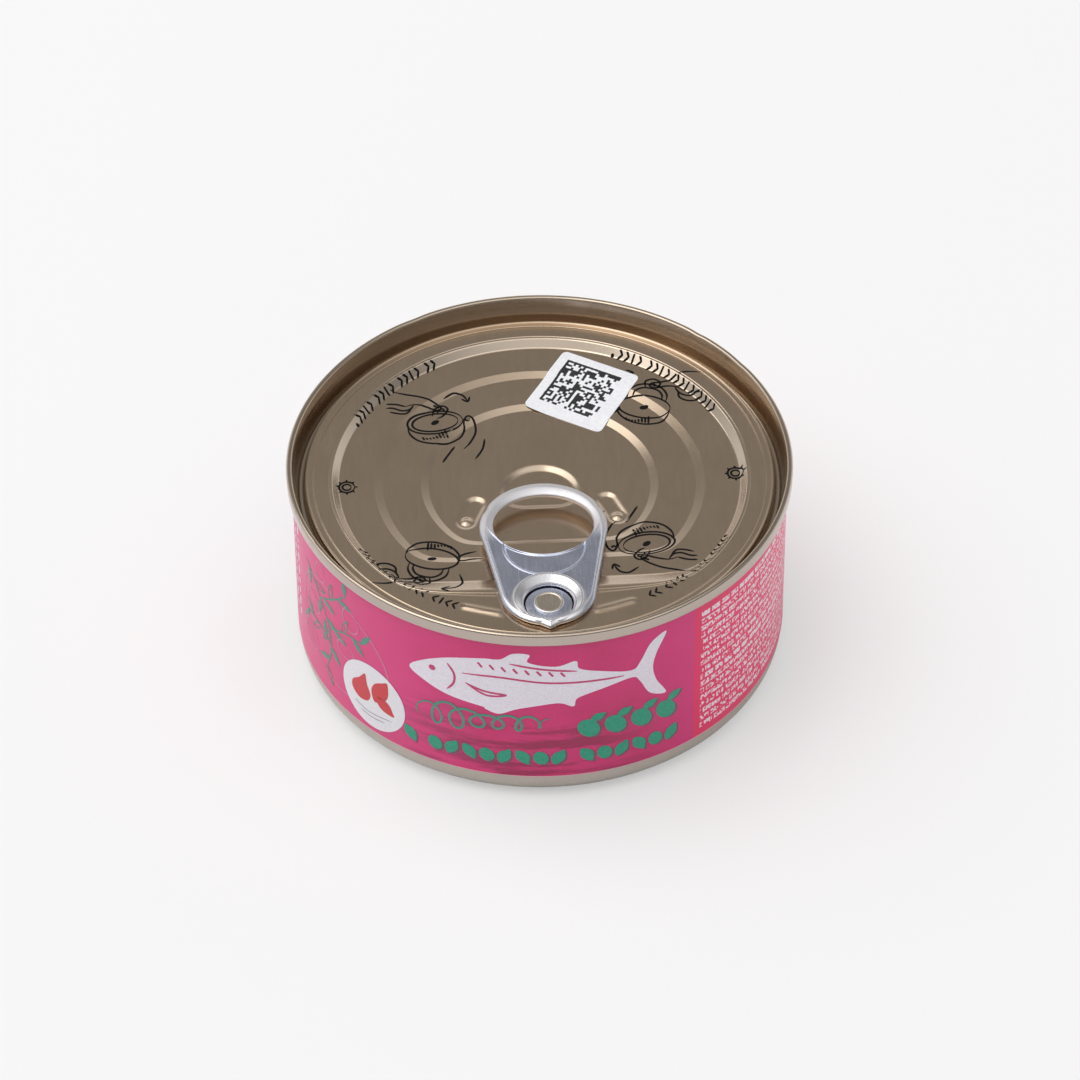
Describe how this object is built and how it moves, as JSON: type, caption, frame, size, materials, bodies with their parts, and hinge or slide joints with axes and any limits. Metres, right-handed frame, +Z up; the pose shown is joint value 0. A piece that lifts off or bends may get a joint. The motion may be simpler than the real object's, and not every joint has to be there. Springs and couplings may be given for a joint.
{
  "type": "tuna can",
  "caption": "Shut low round food can with a wrap label, a seamed lid pressed in terraces and a riveted ring pull lying flat on it.",
  "frame": {"origin": "centre of the base, on the plane that the foot ring stands on", "axes": "+Z up through the lid, -Y from the centre towards the nose of the pull tab, +X to the right of someone who faces the nose"},
  "size_m": [0.0874, 0.0874, 0.0397],
  "materials": {
    "body_metal": "clear grey-gold lacquer over drawn steel, satin gloss",
    "lid_lacquer": "olive-gold lacquer over pressed steel, satin gloss",
    "tab_aluminium": "bare stamped aluminium with bright curled edges",
    "label_print": "glossy printed paper wrap, magenta",
    "sticker_paper": "white semi-gloss paper sticker with black cells"
  },
  "bodies": {
    "root": {"can_body": "body_metal", "lid_end": "lid_lacquer", "pull_tab": "tab_aluminium", "label": "label_print", "code_sticker": "sticker_paper"}
  },
  "joints": []
}
